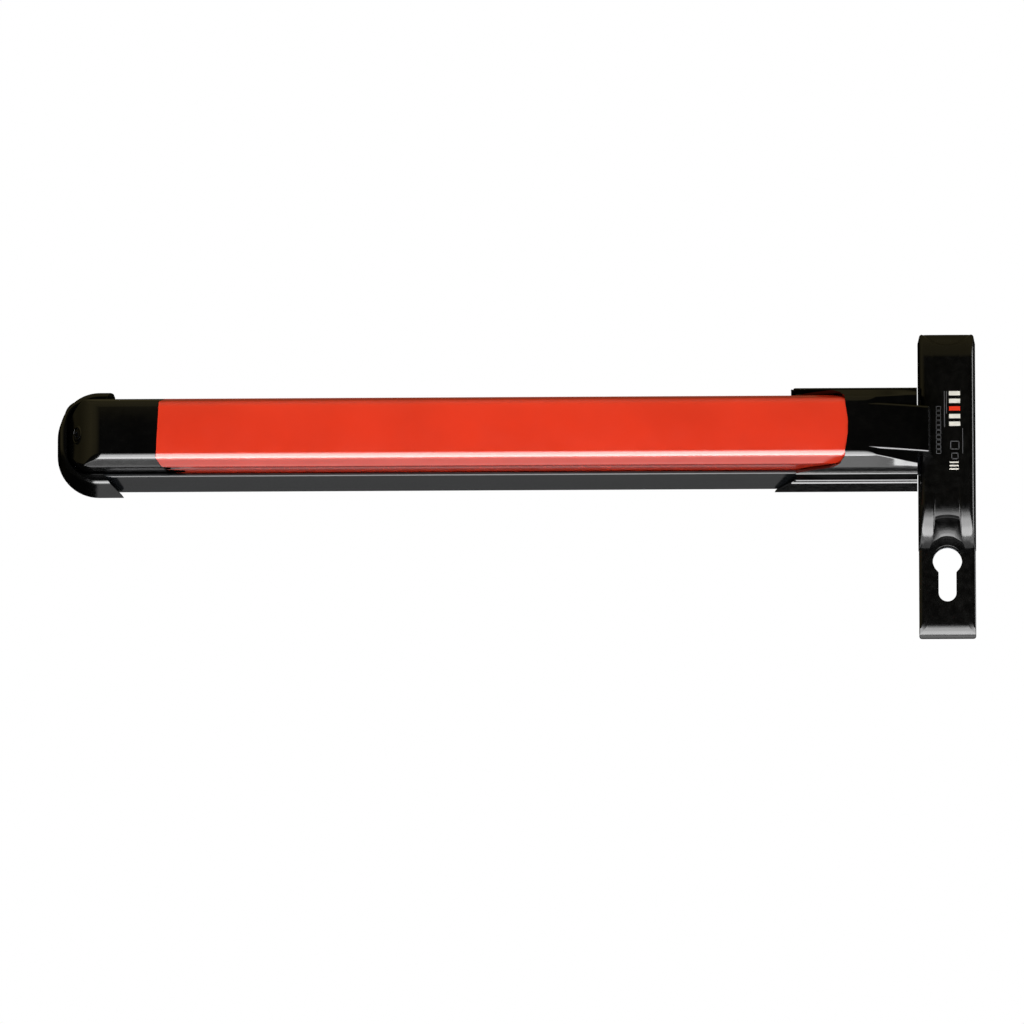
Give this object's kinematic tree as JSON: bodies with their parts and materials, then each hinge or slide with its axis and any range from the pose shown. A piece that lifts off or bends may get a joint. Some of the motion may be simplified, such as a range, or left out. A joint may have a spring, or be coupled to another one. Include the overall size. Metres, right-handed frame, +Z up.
{
  "type": "touch bar panic exit device",
  "caption": "Horizontal push-bar exit device in a U rail; bell cranks and a rod turn a square lock spindle beside a Euro-profile cylinder plate.",
  "frame": {"origin": "on the door face, at the axis of the lock spindle, midway between the two lock-side bolt holes", "axes": "+X along the bar towards the lock side, +Y into the door (push direction), +Z up"},
  "size_m": [0.5474, 0.1135, 0.1808],
  "materials": {
    "red_painted_aluminium": "satin powder coat",
    "black_gloss_moulding": "gloss",
    "charcoal_extrusion": "satin powder coat",
    "black_cast_zinc": "gloss enamel",
    "zinc_plated_steel": "bright zinc",
    "hardened_steel": "ground",
    "black_oxide_steel": "black oxide",
    "spring_steel": "drawn wire",
    "sintered_bronze": "sintered",
    "white_acetal": "matt",
    "grey_nylon": "matt",
    "black_rubber": "matt"
  },
  "bodies": {
    "chassis": {"base_plate_arm": "zinc_plated_steel", "chassis_rail": "charcoal_extrusion", "cover_screws": "zinc_plated_steel", "cylinder_plate": "black_cast_zinc", "flange_base_plate": "black_gloss_moulding", "hub_bush": "sintered_bronze", "left_pivot_pin": "hardened_steel", "left_return_spring": "spring_steel", "left_rocker_bracket": "zinc_plated_steel", "left_rod_guide": "white_acetal", "lock_base_plate": "zinc_plated_steel", "lock_case": "black_cast_zinc", "lock_side_cover": "black_gloss_moulding", "pivot_pin_clips": "spring_steel", "rail_end_bracket": "zinc_plated_steel", "rail_end_flange": "black_gloss_moulding", "rail_joint_bracket": "zinc_plated_steel", "right_pivot_pin": "hardened_steel", "right_return_spring": "spring_steel", "right_rocker_bracket": "zinc_plated_steel", "right_rod_guide": "white_acetal", "rocker_bracket_screws": "zinc_plated_steel", "travel_bumpers": "black_rubber"},
    "push_bar": {"push_bar": "red_painted_aluminium", "push_bar_end_cap": "black_gloss_moulding", "end_cap_anchor": "grey_nylon", "end_cap_screw": "black_oxide_steel", "push_bar_end_plug": "grey_nylon", "hanger_screws": "zinc_plated_steel", "left_hanger": "zinc_plated_steel", "right_hanger": "zinc_plated_steel"},
    "left_rocker": {"left_rocker": "zinc_plated_steel", "left_rocker_bush": "white_acetal", "left_bar_pin": "hardened_steel", "left_rod_pin": "hardened_steel"},
    "right_rocker": {"right_rocker": "zinc_plated_steel", "right_rocker_bush": "white_acetal", "right_bar_pin": "hardened_steel", "right_rod_pin": "hardened_steel"},
    "connecting_rod": {"connecting_rod": "zinc_plated_steel", "drive_yoke": "zinc_plated_steel", "yoke_screws": "zinc_plated_steel"},
    "spindle_hub": {"spindle_hub": "black_oxide_steel", "crank_pin": "hardened_steel", "lock_spindle": "zinc_plated_steel", "spindle_set_screw": "black_oxide_steel"}
  },
  "joints": [
    {"name": "push_bar_slide", "type": "slide", "parent": "chassis", "child": "push_bar", "axis": [0, 1, 0], "range_m": [0, 0.016], "stiffness_N_per_m": 1500, "springref_m": -0.012},
    {"name": "left_rocker_hinge", "type": "hinge", "parent": "chassis", "child": "left_rocker", "pos_m": [-0.44, -0.024, 0], "axis": [0, 0, 1], "range_deg": [0, 31], "deforming": ["left_return_spring"]},
    {"name": "right_rocker_hinge", "type": "hinge", "parent": "chassis", "child": "right_rocker", "pos_m": [-0.15, -0.024, 0], "axis": [0, 0, 1], "range_deg": [0, 31], "deforming": ["right_return_spring"]},
    {"name": "connecting_rod_slide", "type": "slide", "parent": "chassis", "child": "connecting_rod", "axis": [1, 0, 0], "range_m": [-0.0075, 0]},
    {"name": "spindle_hinge", "type": "hinge", "parent": "chassis", "child": "spindle_hub", "pos_m": [0, 0, 0], "axis": [0, 1, 0], "range_deg": [-44, 0]}
  ],
  "couplings": [
    {"joint": "left_rocker_hinge", "follows": "push_bar_slide", "rad_per_m": 33.742},
    {"joint": "right_rocker_hinge", "follows": "push_bar_slide", "rad_per_m": 33.742},
    {"joint": "connecting_rod_slide", "follows": "push_bar_slide", "ratio": -0.46667},
    {"joint": "spindle_hinge", "follows": "push_bar_slide", "rad_per_m": -47.825}
  ]
}
